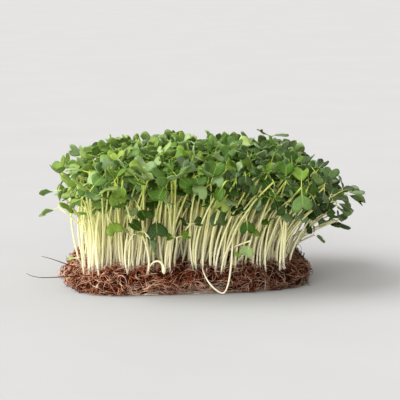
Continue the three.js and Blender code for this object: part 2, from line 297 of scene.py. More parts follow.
def slabFinish():
    finish = Finish("coir_core", {"Roughness": 0.95, "Specular IOR Level": 0.1})
    strands = finish.cloud(finish.place((1, 1, 1.6)), 1.1, 6, 0.7)
    lumps = finish.cloud(finish.place(), 6, 3)
    # partly painted shade: the coir's own dark brown, darkened to near black so that the gaps between the
    # fibres read as deep shade
    colour = finish.ramp(
        strands * 0.7 + lumps * 0.3,
        (0.34, tint(8, 3, 2)),
        (0.5, tint(26, 11, 6)),
        (0.66, tint(66, 34, 20)),
    )
    finish.shade(Base_Color=colour, Normal=finish.bump(strands, 1.2, 1.0))
    return finish


# Where the clumps and the sprouts stand, as in the solids

mat = {
    "length": 142, "depth": 90, "thickness": 15, "cornerPower": 3.7, "bulge": 1.6, "ragged": 1.1,
    "relief": 0.9, "rimDrop": 2.4, "endWear": 8, "wornLength": 14,
}
crown = {
    "columns": 8, "rows": 4, "reachX": 60.5, "reachY": 34, "shiftX": [-0.375, 0.125, -0.125, 0.375],
    "shiftY": 0.22, "bend": 0.1, "jitter": 1.2,
}
canopy = {
    "spreadX": 68.5, "spreadY": 46, "lean": 8.5, "height": 64, "endDrop": [8, 20], "sideDrop": 8,
    "dropPower": 4, "fan": [5, 10], "wander": 0.5, "step": 0.065, "uneven": [-4, 1], "perClump": 4,
}
stem = {"spacing": 2.6, "sunk": 3.8, "rise": 0.5, "sway": 4}
leaf = {
    "length": 9.6, "width": 11.6, "petiole": 4, "petioleHalf": 0.45, "widest": 0.5, "lobe": 0.95,
    "lobeWidth": 0.64, "cup": 0.9, "droop": 1.5, "second": 0.84, "size": [0.82, 1.08], "raise": [0.1, 0.75],
    "twist": 0.35,
}
room = {
    "gap": 2.1, "least": 1.6, "clash": 1, "slack": 0.001, "near": 32, "tries": 100, "stemStep": 1.7,
    "along": 5, "across": 3,
}

# Sprouts that stand out of the rest: column, row, place of the tip, turn, the leaves' rise, size, tone
strays = [
    (0, 1, (-77, -8, 47), 3.3, (0.1, 1.0), 0.95, 0.55),
    (0, 2, (-76, 6, 55), 3.0, (0.2, 0.9), 0.85, 0.6),
    (7, 2, (97, 2, 50), 0.2, (0.7, 0.9), 0.95, 0.15),
    (7, 3, (85, 34, 54), 0.5, (0.3, 0.6), 0.9, 0.2),
    (7, 0, (83, -30, 50), -0.3, (0.2, 0.6), 1, 0.2),
    (7, 1, (75, -14, 27), 0.1, (0.2, 1.2), 0.6, 0.5),
    (6, 2, (55, 18, 83), 0.15, (0.5, 0.45), 0.8, 0.3),
    (5, 0, (29, -54, 32), 1.3, (0.3, -0.5), 0.9, 0.8),
    (5, 0, (27, -50, 46), -1.4, (-0.6, 0.3), 0.8, 0.45),
    (2, 0, (-31, -53, 37), 2.6, (0.6, -0.9), 0.95, 0.3),
    (2, 0, (-36, -51, 54), 1.9, (0.4, -0.4), 1.1, 0.25),
    (3, 0, (-6, -51, 42), 0.2, (0.2, 0.5), 0.6, 0.1),
]
strayTwist = (0.2, -0.2)


class Draws:
    # The minimal standard generator, with the seed that the solids are laid out with
    seed = 20731

    def __call__(self, low, high):
        self.seed = self.seed * 16807 % 2147483647
        return low + (high - low) * self.seed / 2147483647


between = Draws()


def clumpCentres():
    centres = []
    lastRow, lastColumn = crown["rows"] - 1, crown["columns"] - 1
    halfX = lastColumn / 2 + max(crown["shiftX"])
    halfY = lastRow / 2 + crown["shiftY"]
    for row in range(crown["rows"]):
        for column in range(crown["columns"]):
            shiftY = crown["shiftY"] if column % 2 else -crown["shiftY"]
            u = (column + crown["shiftX"][row] - lastColumn / 2) / halfX
            v = (row + shiftY - lastRow / 2) / halfY
            x = u * crown["reachX"] * (1 - crown["bend"] * v * v) + between(-crown["jitter"], crown["jitter"])
            y = v * crown["reachY"] * (1 - crown["bend"] * u * u) + between(-crown["jitter"], crown["jitter"])
            count = canopy["perClump"] + (row in (0, lastRow)) + (column in (0, lastColumn))
            turn = between(0, 2 * math.pi)
            centres.append({"u": u, "v": v, "x": x, "y": y, "count": count, "turn": turn, "sprouts": []})
    return centres


def sproutAt(root, tip, turn, rise, twist, size, sway):
    middle = np.array((root[0] + sway[0], root[1] + sway[1], root[2] + stem["rise"] * (tip[2] - root[2])))
    sprout = {"root": np.array(root), "middle": middle, "tip": np.array(tip), "turn": turn}
    return {**sprout, "rise": rise, "twist": twist, "size": size}


def sproutOf(clump, index, *rest):
    angle = clump["turn"] + index * 2 * math.pi / clump["count"]
    x = clump["x"] + stem["spacing"] * math.cos(angle)
    y = clump["y"] + stem["spacing"] * math.sin(angle)
    return sproutAt((x, y, mat["thickness"] - stem["sunk"]), *rest)


def stemPoint(sprout, t):
    return (1 - t) ** 2 * sprout["root"] + 2 * t * (1 - t) * sprout["middle"] + t * t * sprout["tip"]


def unit(vector):
    return vector / math.sqrt(vector @ vector)


def leafAxes(sprout, side):  # rows: out along the blade, across it, out of its upper face
    up = unit(unit(sprout["tip"] - sprout["middle"]) + (0, 0, 1))
    east = unit(np.array((1 - up[0] * up[0], -up[0] * up[1], -up[0] * up[2])))
    north = np.array((
        up[1] * east[2] - up[2] * east[1],
        up[2] * east[0] - up[0] * east[2],
        up[0] * east[1] - up[1] * east[0],
    ))
    turn = sprout["turn"] + side * math.pi
    rise, twist = sprout["rise"][side], sprout["twist"][side]
    out = east * math.cos(turn) + north * math.sin(turn)
    across = north * math.cos(turn) - east * math.sin(turn)
    along = out * math.cos(rise) + up * math.sin(rise)
    face = up * math.cos(rise) - out * math.sin(rise)
    tilted = across * math.cos(twist) + face * math.sin(twist)
    return np.array((along, tilted, face * math.cos(twist) - across * math.sin(twist)))


def leafSize(sprout, side):
    return sprout["size"] * (leaf["second"] if side else 1)


def bladeRise(t, s):  # height over the blade's plane, t along it and s across it
    return leaf["cup"] * s * s * min(1, 2 * t) - leaf["droop"] * t * t


def halfWidth(t):
    widest = leaf["width"] / 2
    if t < leaf["widest"]:
        return leaf["petioleHalf"] + (widest - leaf["petioleHalf"]) * (t / leaf["widest"])
    return widest * (1 - (1 - leaf["lobeWidth"]) * (t - leaf["widest"]) / (leaf["lobe"] - leaf["widest"]))


def leafSamples():
    points = [(leaf["petiole"] / 2, 0, 0)]
    for i in range(room["along"] + 1):
        t = i / room["along"]
        for j in range(-room["across"], room["across"] + 1):
            s = j / room["across"]
            points.append((leaf["petiole"] + t * leaf["length"], halfWidth(t) * s, bladeRise(t, s)))
    return np.array(points)


leafPoints = leafSamples()


def samplesOf(sprout):  # points on its blades and on its stem above the lowest tenth
    steps = math.ceil(math.dist(sprout["tip"], sprout["root"]) / room["stemStep"])
    t = np.arange(math.ceil(steps / 10), steps + 1)[:, None] / steps
    leaves = [sprout["tip"] + leafSize(sprout, side) * leafPoints @ leafAxes(sprout, side) for side in (0, 1)]
    return np.vstack([stemPoint(sprout, t), *leaves])


class Standing:
    # The sprouts that stand already, and the room that is left between them
    def __init__(self):
        self.points, self.tips, self.owners = np.zeros((0, 3)), [], []

    def plant(self, clump, sprout):
        clump["sprouts"].append(sprout)
        samples = samplesOf(sprout)
        self.owners += [len(self.tips)] * len(samples)
        self.tips.append(sprout["tip"])
        self.points = np.vstack([self.points, samples])
        self.tree = KDTree(len(self.points))
        for index, point in enumerate(self.points.tolist()):
            self.tree.insert(point, index)
        self.tree.balance()

    def gapTo(self, sprout):
        near = [math.dist(tip, sprout["tip"]) <= room["near"] for tip in self.tips]
        least = math.inf
        for sample in samplesOf(sprout).tolist():
            for _, index, distance in self.tree.find_range(sample, room["gap"] + room["slack"]):
                if near[self.owners[index]]:
                    if distance < room["clash"] - room["slack"]:
                        return 0
                    least = min(least, math.dist(sample, self.points[index]))
        return least if least >= room["clash"] else 0


def tipOf(clump, index):
    spoke = clump["turn"] + index * 2 * math.pi / clump["count"]
    angle = spoke + between(-canopy["wander"], canopy["wander"])
    reach = between(*canopy["fan"])
    x = clump["u"] * canopy["spreadX"] + canopy["lean"] + reach * math.cos(angle)
    y = clump["v"] * canopy["spreadY"] + reach * math.sin(angle)
    height = heightOver(clump) * (1 - index * canopy["step"])
    return x, y, mat["thickness"] + height + between(*canopy["uneven"])


def heightOver(clump):  # of the tallest tips, above the mat
    endDrop = canopy["endDrop"][0 if clump["u"] < 0 else 1] * abs(clump["u"]) ** canopy["dropPower"]
    sideDrop = canopy["sideDrop"] * abs(clump["v"]) ** canopy["dropPower"]
    return canopy["height"] - math.hypot(endDrop, sideDrop)


def placeSprouts():
    clumps, standing = clumpCentres(), Standing()
    for column, row, tip, turn, rise, size, tone in strays:
        clump = clumps[row * crown["columns"] + column]
        sprout = sproutOf(clump, len(clump["sprouts"]), tip, turn, rise, strayTwist, size, (0, 0))
        sprout["tone"] = tone
        standing.plant(clump, sprout)
    for clump in clumps:
        for index in range(len(clump["sprouts"]), clump["count"]):
            bestGap, best, tries = room["least"], None, 0
            while tries < room["tries"] and bestGap < room["gap"]:
                tip = tipOf(clump, index)
                turn = between(0, 2 * math.pi)
                rise = between(*leaf["raise"]), between(*leaf["raise"])
                twist = between(-leaf["twist"], leaf["twist"]), between(-leaf["twist"], leaf["twist"])
                sway = between(-stem["sway"], stem["sway"]), between(-stem["sway"], stem["sway"])
                size = between(*leaf["size"])
                sprout = sproutOf(clump, index, tip, turn, rise, twist, size, sway)
                gap = standing.gapTo(sprout)
                if gap > bestGap:
                    bestGap, best = gap, sprout
                tries += 1
            if best:
                standing.plant(clump, best)
    return clumps, standing


# Finer sprouts that fill the stand between those of the solids

infill = {
    "seed": 11, "perClump": 19, "tries": 14, "reach": 13, "inside": 0.94, "sunk": 2.5, "fan": 11,
    "depth": 22, "frontDepth": (6, 13), "depthPower": 1.3, "endFall": 12, "endFrom": 0.72, "lift": 2.6,
    "above": 8, "short": 0.03, "shortBy": 14, "rise": (-0.7, 1.2), "size": (0.64, 1.12), "twist": 1.0,
    "sway": 8, "pull": (0.97, 0.94), "stray": 4.5, "strayStep": 0.2, "gapSize": 9, "gapDepth": -0.05,
    "gapRim": (0.72, 0.8), "frontRow": -16, "facing": (0.25, 0.55), "facingTurn": 0.9,
    "facingRise": (-1.1, -0.2), "cell": 1.5, "low": (-120, -85, 0), "cells": (165, 115, 70),
}


def norm(u, v):
    return (abs(u) ** mat["cornerPower"] + abs(v) ** mat["cornerPower"]) ** (1 / mat["cornerPower"])


def rimAt(x, y):  # 0 in the middle of the mat, 1 at its rim
    return norm(2 * x / mat["length"], 2 * y / mat["depth"])


def cellsOf(samples):  # of the stand, cut into small cubes
    index = (samples - infill["low"]) / infill["cell"]
    return tuple(np.clip(index.astype(int), 0, np.array(infill["cells"]) - 1).T)


def bareAt(x, y):  # gaps among the stems' feet, more of them near the rim
    rim = rimAt(x, y)
    start, growth = infill["gapRim"]
    limit = infill["gapDepth"] + growth * max(0, rim - start)
    return rim > infill["inside"] or noise.noise((x / infill["gapSize"], y / infill["gapSize"], 0.5)) < limit


def infillSprout(clump, chance):
    x = y = math.inf
    while rimAt(x, y) > infill["inside"]:
        angle, reach = chance.uniform(0, 2 * math.pi), infill["reach"] * math.sqrt(chance.random())
        x, y = clump["x"] + reach * math.cos(angle), clump["y"] + reach * math.sin(angle)
    footX, footY, stray = x, y, infill["stray"]
    while bareAt(footX, footY):
        footX = x * infill["pull"][0] + chance.gauss(0, stray)
        footY = y * infill["pull"][1] + chance.gauss(0, stray)
        stray += infill["strayStep"]
    u, v = x / crown["reachX"], y / crown["reachY"]
    angle, fan = chance.uniform(0, 2 * math.pi), infill["fan"] * math.sqrt(chance.random())
    fall = infill["endFall"] * max(0, abs(u) - infill["endFrom"])
    if chance.random() < infill["short"] and abs(u) < infill["endFrom"]:
        fall += infill["shortBy"]
    half = 0 if x < 0 else 1
    depth = infill["depth"] if y > infill["frontRow"] else infill["frontDepth"][half]
    over = mat["thickness"] + heightOver({"u": max(-1, min(u, 1)), "v": max(-1, min(v, 1))})
    top = over + infill["lift"] * (1 - u * u) - depth * chance.random() ** infill["depthPower"] - fall
    turn = chance.uniform(0, 2 * math.pi)
    rise = [chance.uniform(*infill["rise"]) for _ in range(2)]
    if y < infill["frontRow"] and chance.random() < infill["facing"][half]:
        turn = -math.pi / 2 + chance.uniform(-infill["facingTurn"], infill["facingTurn"])
        rise[0] = chance.uniform(*infill["facingRise"])
    twist = [chance.uniform(-infill["twist"], infill["twist"]) for _ in range(2)]
    sway = [chance.uniform(-infill["sway"], infill["sway"]) for _ in range(2)]
    size = chance.uniform(*infill["size"])
    reach = size * (leaf["petiole"] + leaf["length"]) * math.sin(max(rise))
    tip = (
        u * canopy["spreadX"] + canopy["lean"] + fan * math.cos(angle),
        v * canopy["spreadY"] + fan * math.sin(angle),
        min(top, over + infill["above"] - reach),
    )
    foot = (footX, footY, topOfMat(footX, footY) - wearAt(footX) - infill["sunk"])
    return sproutAt(foot, tip, turn, rise, twist, size, sway)


# Small ones in front: the clump, counted from 0, foot, tip, turn, the leaves' rise, size, tone
extras = [
    (1, (-43, -36), (-38, -45, 36), 2.8, (0.2, 0.4), 0.5, 0.9),
    (2, (-27, -34), (-25, -46, 47), -1.57, (-0.6, 0.5), 1.1, 0.3),
    (5, (24, -36), (26, -45, 22), 0.3, (0.3, 0.2), 0.45, 1.0),
    (0, (-50, -32), (-52, -43, 46), -1.2, (-0.5, 0.6), 0.9, 0.85),
    (3, (-12, -36), (-13, -47, 34), 0.1, (0.1, 0.3), 0.6, 0.5),
    (8, (-63, -9), (-67, -12, 17), 2.6, (0.1, 0.2), 0.5, 1.0),
]
frontal = {
    "seed": 5, "count": 14, "reach": 58, "foot": (-43.6, -41), "sunk": 3.5, "lean": 4, "aside": 5,
    "tip": (-50, -36), "height": (44, 60), "swayX": (-4, 4), "swayY": (-4, 2), "size": (0.6, 0.9),
    "tone": (0.2, 0.55),
}


def plantFrontal(clumps):  # along the front edge, bending in over it
    chance = random.Random(frontal["seed"])
    for _ in range(frontal["count"]):
        x, y = chance.uniform(-frontal["reach"], frontal["reach"]), chance.uniform(*frontal["foot"])
        root = (x, y, topOfMat(x, y) - frontal["sunk"])
        tipX = x + frontal["lean"] + chance.gauss(0, frontal["aside"])
        tip = (tipX, chance.uniform(*frontal["tip"]), chance.uniform(*frontal["height"]))
        turn = chance.uniform(0, 2 * math.pi)
        rise = [chance.uniform(*infill["rise"]) for _ in range(2)]
        sway = [chance.uniform(*frontal["swayX"]), chance.uniform(*frontal["swayY"])]
        sprout = sproutAt(root, tip, turn, rise, strayTwist, chance.uniform(*frontal["size"]), sway)
        sprout["tone"] = chance.uniform(*frontal["tone"])
        near = [math.dist((clump["x"], clump["y"]), (x, y)) for clump in clumps]
        clumps[near.index(min(near))]["sprouts"].append(sprout)


def plantExtras(clumps):
    for number, foot, tip, turn, rise, size, tone in extras:
        root = (*foot, topOfMat(*foot) - wearAt(foot[0]) - infill["sunk"])
        sprout = sproutAt(root, tip, turn, rise, strayTwist, size, (0, 0))
        clumps[number]["sprouts"].append({**sprout, "tone": tone})


def fillStand(clumps, standing):
    chance = random.Random(infill["seed"])
    taken = np.zeros(infill["cells"], bool)
    taken[cellsOf(standing.points)] = True
    for _ in range(infill["perClump"]):
        for clump in clumps:
            tries = [infillSprout(clump, chance) for _ in range(infill["tries"])]
            crowding = [taken[cellsOf(samplesOf(sprout))].sum() for sprout in tries]
            best = tries[crowding.index(min(crowding))]
            taken[cellsOf(samplesOf(best))] = True
            clump["sprouts"].append(best)


# Meshes

weldReach = 0.0002 * mm


def meshOfCurves(curves):
    holder = bpy.data.objects.new(curves.name, curves)
    scene.collection.objects.link(holder)
    depsgraph = bpy.context.evaluated_depsgraph_get()
    tubes = bpy.data.meshes.new_from_object(holder.evaluated_get(depsgraph))
    bpy.data.objects.remove(holder)
    bpy.data.curves.remove(curves)
    bm = bmesh.new()
    bm.from_mesh(tubes)
    bpy.data.meshes.remove(tubes)
    bmesh.ops.remove_doubles(bm, verts=bm.verts, dist=weldReach)  # the caps onto the tubes' ends
    return meshOfBmesh(bm)


def newCurves(name, radius, sides):
    curves = bpy.data.curves.new(name, "CURVE")
    curves.dimensions = "3D"
    curves.bevel_depth = radius * mm
    curves.bevel_resolution = sides // 2 - 2
    curves.use_fill_caps = True
    return curves


def addStrand(curves, points, radii, steps=4):  # a smooth strand through a few points, in millimetres
    spline = curves.splines.new("NURBS")
    spline.points.add(len(points) - 1)
    for point, place, radius in zip(spline.points, points, radii):
        point.co = (*(c * mm for c in place), 1)
        point.radius = radius
    spline.order_u = 4
    spline.use_endpoint_u = True
    spline.resolution_u = steps


def addPiece(name, mesh, finish, slot, *nodes):
    mesh.name = name
    mesh.materials.clear()
    mesh.materials.append(finish.material)
    mesh.polygons.foreach_set("use_smooth", [True] * len(mesh.polygons))
    piece = bpy.data.objects.new(name, mesh)
    scene.collection.objects.link(piece)
    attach(piece, "root")
    if nodes:
        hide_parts(*nodes)


def meshOfBmesh(bm):
    mesh = bpy.data.meshes.new("piece")
    bm.to_mesh(mesh)
    bm.free()
    return mesh


# Leaves

bladeSet = {
    "shapes": 12, "seed": 4, "across": 6, "along": 5, "thickness": 0.42, "pinch": 0.35, "narrowest": 0.02,
    "widest": 0.82, "notchWidth": 0.24, "notchPower": 5, "wavesAcross": 5, "wavesAlong": 4,
    "underBelow": -0.25, "perch": 32,
}
bladeRanges = {
    "notch": (0.24, 0.42), "cup": (-1.4, 2.2), "droop": (0.2, 3.2), "fold": (-0.8, 2.4),
    "skew": (-0.18, 0.18), "wave": (0.1, 0.6), "phase": (0, 6),
}


def bladeTemplate(chance):
    shape = {key: chance.uniform(*ends) for key, ends in bladeRanges.items()}
    bm = bmesh.new()
    plan = bm.loops.layers.uv.new("leafPlan")
    bm.verts.layers.float.new("tone")
    bm.verts.layers.float.new("wax")
    under = bm.faces.layers.float.new("under")
    bmesh.ops.create_grid(bm, x_segments=bladeSet["across"], y_segments=bladeSet["along"], size=1)
    for vert in bm.verts:
        a, b = vert.co.x, vert.co.y
        u = a * math.sqrt(1 - b * b / 2)
        t = (1 + b * math.sqrt(1 - a * a / 2)) / 2
        s = u * max(t, bladeSet["narrowest"]) ** bladeSet["pinch"] / bladeSet["widest"]
        notch = shape["notch"] * math.exp(-((u / bladeSet["notchWidth"]) ** 2)) * t ** bladeSet["notchPower"]
        along = t - notch + shape["skew"] * s * t
        rise = shape["cup"] * s * s * min(1, 2 * t) - shape["droop"] * t * t + shape["fold"] * abs(s) * t
        waves = bladeSet["wavesAcross"] * s + bladeSet["wavesAlong"] * t + shape["phase"]
        rise += shape["wave"] * math.sin(waves) * t
        vert.co = (leaf["petiole"] + along * leaf["length"], s * leaf["width"] / 2, rise)
    for face in bm.faces:
        for loop in face.loops:
            x, y = loop.vert.co.x, loop.vert.co.y
            loop[plan].uv = (0.5 + y / leaf["width"], (x - leaf["petiole"]) / leaf["length"])
    bmesh.ops.recalc_face_normals(bm, faces=bm.faces)
    if bm.faces[0].normal.z < 0:
        bmesh.ops.reverse_faces(bm, faces=bm.faces)
    bmesh.ops.solidify(bm, geom=bm.faces[:], thickness=bladeSet["thickness"])
    for face in bm.faces:
        face[under] = float(face.normal.z < bladeSet["underBelow"])
    return meshOfBmesh(bm)


# A sprout's tone, 0 dark to 1 yellow: paler to the left as painted light from that side, paler on top, and
# its two leaves differ a little
toneSet = {
    "middle": 0.47, "spread": 0.2, "paintedLightPerX": -0.0042, "perZ": 0.002, "level": 58, "most": 0.8, "apart": 0.1,
    "waxAndSheenPower": 4,
}


def toneOf(sprout, chance):
    x, _, z = sprout["tip"]
    tone = toneSet["middle"] + toneSet["spread"] * chance.gauss(0, 1)
    # painted light: the tone rises towards the left, the side the light comes from
    tone += toneSet["paintedLightPerX"] * x + toneSet["perZ"] * (z - toneSet["level"])
    return sprout.get("tone", min(tone, toneSet["most"]))


def growLeaves(clump, templates, chance):
    bm = bmesh.new()
    bm.loops.layers.uv.new("leafPlan")
    tone = bm.verts.layers.float.new("tone")
    wax = bm.verts.layers.float.new("wax")
    bm.faces.layers.float.new("under")
    for sprout in clump["sprouts"]:
        sproutTone = toneOf(sprout, chance)
        for side in (0, 1):
            size = leafSize(sprout, side) * mm
            axes = leafAxes(sprout, side)
            place = Matrix((axes * size).T.tolist()).to_4x4()
            place.translation = Vector(sprout["tip"]) * mm
            start = len(bm.verts)
            bm.from_mesh(chance.choice(templates))
            bm.verts.ensure_lookup_table()
            fresh = bm.verts[start:]
            bmesh.ops.transform(bm, matrix=place, verts=fresh)
            sprout["perch"] = fresh[bladeSet["perch"]].co / mm + Vector(axes[2]) * coatSet["above"]
            leafTone = max(0.0, min(sproutTone + toneSet["apart"] * chance.gauss(0, 1), 1.0))
            # each leaf's waxy bloom, which is partly painted sheen
            leafWaxAndSheen = chance.random() ** toneSet["waxAndSheenPower"]
            for vert in fresh:
                vert[tone], vert[wax] = leafTone, leafWaxAndSheen
    return meshOfBmesh(bm)


# Stems and petioles

stemSet = {
    "radius": 0.62, "sides": 6, "steps": 9, "foot": (0.85, 1.1), "top": 0.82, "sway": 3.0, "swayBack": 0.5,
}
petioleSet = {
    "apart": 0.06, "below": 0.6, "above": 0.25, "midrib": [(0.35, 0.1), (0.95, 0), (1.4, -0.16), (1.9, -0.5)],
    "radii": (0.5, 0.5, 0.45, 0.375, 0.25, 0.1), "steps": 2,
}


def addStem(curves, sprout, chance):
    spline = curves.splines.new("BEZIER")
    spline.bezier_points.add(1)
    root, middle, tip = sprout["root"], sprout["middle"], sprout["tip"]
    bend = np.array([chance.uniform(-stemSet["sway"], stemSet["sway"]) for _ in range(2)] + [0])
    first, last = spline.bezier_points
    first.co, last.co = root * mm, tip * mm
    first.handle_right = (root + 2 / 3 * (middle - root) + bend) * mm
    first.handle_left = (2 * root - middle) * mm
    last.handle_left = (tip + 2 / 3 * (middle - tip) - stemSet["swayBack"] * bend) * mm
    last.handle_right = (2 * tip - middle) * mm
    first.radius, last.radius = chance.uniform(*stemSet["foot"]), stemSet["top"]
    spline.resolution_u = stemSet["steps"]


def addPetiole(curves, sprout, side):  # it runs on under the blade as its midrib
    axes = leafAxes(sprout, side)
    size = leafSize(sprout, side)
    start = sprout["tip"] + petioleSet["apart"] * axes[0]  # the two petioles' ends side by side
    up = unit(sprout["tip"] - sprout["middle"])
    points = [start - petioleSet["below"] * up, start + petioleSet["above"] * up]
    for x, z in petioleSet["midrib"]:
        points.append(np.array((x * leaf["petiole"], 0, z)) @ axes * size + sprout["tip"])
    addStrand(curves, points, petioleSet["radii"], petioleSet["steps"])


def growStems(clump, chance):
    curves = newCurves("stems", stemSet["radius"], stemSet["sides"])
    for sprout in clump["sprouts"]:
        addStem(curves, sprout, chance)
        for side in (0, 1):
            addPetiole(curves, sprout, side)
    return meshOfCurves(curves)


# The mat

slabSet = {
    "cuts": 55, "lumps": 2.8, "lumpSize": 5, "grain": 0.5, "grainSize": 1.6, "below": 0.6,
    "heaps": 7, "heapSize": 15, "heapFrom": 0.08, "cornerHeap": 6, "corner": (-66, 24, 12),
}
bed = 0.3  # how far over the floor the ragged surface starts


def topOfMat(x, y):  # with its dimples, as in the solids
    dimples = math.sin(x / 8.3 + 1.2) * math.cos(y / 6.1)
    return mat["thickness"] + mat["relief"] * (dimples + 0.7 * math.sin(x / 17 - y / 11))


def wearAt(x):
    return mat["endWear"] * max(0, mat["wornLength"] - mat["length"] / 2 - x) / mat["wornLength"]


def raggedRim(angle):
    waves = math.sin(5 * angle + 0.6) + 0.7 * math.sin(11 * angle + 2) + 0.5 * math.sin(19 * angle)
    return mat["ragged"] * waves


def heapAt(x, y, rim):  # loose coir that stands up among the stems, and at the worn end's back corner
    swell = noise.noise((x / slabSet["heapSize"], y / slabSet["heapSize"], 3.3)) - slabSet["heapFrom"]
    cornerX, cornerY, reach = slabSet["corner"]
    away = ((x - cornerX) / reach) ** 2 + ((y - cornerY) / reach) ** 2
    corner = slabSet["cornerHeap"] * math.exp(-away) * (1 - rim ** 16)
    return slabSet["heaps"] * max(0, swell) * (1 - rim ** 4) + corner


def makeSlab():
    bm = bmesh.new()
    bmesh.ops.create_cube(bm, size=2)
    bmesh.ops.subdivide_edges(bm, edges=bm.edges[:], cuts=slabSet["cuts"], use_grid_fill=True)
    for vert in bm.verts:
        u, v, level = vert.co.x, vert.co.y, (vert.co.z + 1) / 2
        rim = max(abs(u), abs(v))
        pull = rim / norm(u, v) if rim else 1
        angle = math.atan2(v, u)
        out = rim ** 3 * (raggedRim(angle) - mat["bulge"] * (2 * level - 1) ** 2)
        x = pull * u * mat["length"] / 2 + math.cos(angle) * out
        y = pull * v * mat["depth"] / 2 + math.sin(angle) * out
        heap = heapAt(x, y, rim)
        vert.co = (x, y, level * (topOfMat(x, y) + heap - mat["rimDrop"] * rim ** 6 - wearAt(x)))
    bm.normal_update()
    for vert in bm.verts:
        if vert.co.z > bed:
            lump = slabSet["lumps"] * noise.noise(vert.co / slabSet["lumpSize"])
            grain = slabSet["grain"] * noise.noise(vert.co / slabSet["grainSize"] + Vector((9, 4, 2)))
            vert.co += vert.normal * (lump + grain - slabSet["below"])
            vert.co.z = max(vert.co.z, bed)
    bmesh.ops.scale(bm, vec=(mm, mm, mm), verts=bm.verts)
    return meshOfBmesh(bm)


fibreSet = {
    "seed": 21, "radius": (0.09, 0.22), "length": (3.5, 15), "curl": 0.6, "sink": -0.5, "wander": 0.1,
    "sideWeight": 2.6, "flat": 0.7, "leastUp": -0.5, "from": 0.6,
}


def makeFibres(slab, chance, count, lift):
    low = fibreSet["from"] * mm
    faces = [face for face in slab.polygons if face.normal.z > fibreSet["leastUp"] and face.center.z > low]
    weights = [face.area * (1 + fibreSet["sideWeight"] * (1 - max(face.normal.z, 0))) for face in faces]
    curves = newCurves("fibres", 1, 4)
    for face in chance.choices(faces, weights, k=count):
        normal, centre = face.normal, face.center / mm
        sideways = normal.cross((chance.gauss(0, 1), chance.gauss(0, 1), chance.gauss(0, 1))).normalized()
        sideways.z *= fibreSet["flat"]
        bend = normal.cross(sideways).normalized() * chance.uniform(-1, 1) * fibreSet["curl"]
        length, high = chance.uniform(*fibreSet["length"]), chance.uniform(*lift)
        radius = chance.uniform(*fibreSet["radius"])
        points = []
        for step, out in enumerate((fibreSet["sink"], 0.5 * high, high, 0.6 * high, fibreSet["sink"])):
            s = step / 4 - 0.5
            wander = [chance.uniform(-fibreSet["wander"], fibreSet["wander"]) * length for _ in range(3)]
            curl = bend * (4 * s * s - 0.5) * length * 0.5
            point = centre + sideways * s * length + curl + normal * out + Vector(wander)
            point.z = max(point.z, bed)
            points.append(point)
        addStrand(curves, points, (radius * 0.6, radius, radius, radius, radius * 0.4), 2)
    return meshOfCurves(curves)


# Coarse fibres that loop out of the sides, and the long threads, as in the solids
loopSet = {
    "count": 14, "rooted": 0.9, "out": 1.09, "jitter": 0.1, "turn": (0.1, 0.22), "low": (4, 9.5),
    "lift": (-2, 3), "cover": 4.5, "radius": 0.32,
}
threads = [
    [(-60, -22, 7), (-73, -25, 11), (-90, -27, 6), (-98, -28, 12)],
    [(-60, -8, 8), (-71, -11, 12), (-80, -12, 17), (-88, -13, 19)],
    [(64, 14, 10), (72, 16, 15), (76, 17, 20), (77, 18, 25)],
]


def rimPoint(angle, share, z):
    c, s = math.cos(angle), math.sin(angle)
    reach = share / norm(c, s)
    x = reach * c * mat["length"] / 2
    return x, reach * s * mat["depth"] / 2, min(z, mat["thickness"] - wearAt(x) - loopSet["cover"])


def makeLoops():
    curves = newCurves("loops", loopSet["radius"], 6)
    for i in range(loopSet["count"]):
        start = 2 * math.pi * i / loopSet["count"] + between(-loopSet["jitter"], loopSet["jitter"])
        turn, low, lift = (between(*loopSet[name]) for name in ("turn", "low", "lift"))
        points = [
            rimPoint(start, loopSet["rooted"], low),
            rimPoint(start + turn * 0.3, loopSet["out"], low + 1.5),
            rimPoint(start + turn * 0.7, loopSet["out"], low + lift - 1),
            rimPoint(start + turn, loopSet["rooted"], low + lift),
        ]
        addStrand(curves, points, (1, 1, 0.9, 0.8), 8)
    for points in threads:
        addStrand(curves, points, (1.3, 1.1, 0.8, 0.4), 10)
    return meshOfCurves(curves)


# Fine pale roots in the lower part of the mat's sides and round the stems' feet

rootSet = {
    "seed": 8, "low": 420, "front": 130, "frontAngle": (-1.8, -1.15), "radius": (0.08, 0.17),
    "length": (4, 13), "perTurn": 60, "lowest": 0.4, "spread": 6, "spreadPower": 2.2, "slope": 3,
    "jitter": 1.2, "proud": (-0.004, 0.018), "buried": 0.03, "feet": 3, "footReach": (1.5, 5),
    "footOver": 0.6, "footSunk": 1.6, "footRadii": (0.22, 0.16, 0.12, 0.05),
}
rootLoop = [
    (2.4, -43, 15.5), (2.6, -47, 12), (6, -49, 5.5), (12, -50, 1), (14.5, -50, 0.6),
    (17, -49, 6), (18.5, -47, 14), (20, -44, 24), (21, -41, 34),
]
rootLoopRadii = (0.25, 0.42, 0.5, 0.5, 0.42, 0.5, 0.58, 0.6, 0.5)
newSprout = [
    (-30, -41, 12), (-28.5, -43, 17), (-25.5, -44.5, 20.5), (-22.5, -45.5, 20),
    (-21, -46, 18), (-20.6, -46.3, 16), (-20.4, -46, 13.8), (-20.2, -45.5, 12.6),
]
newSproutRadii = (0.3, 0.5, 0.6, 0.6, 0.7, 1.2, 1.3, 0.5)


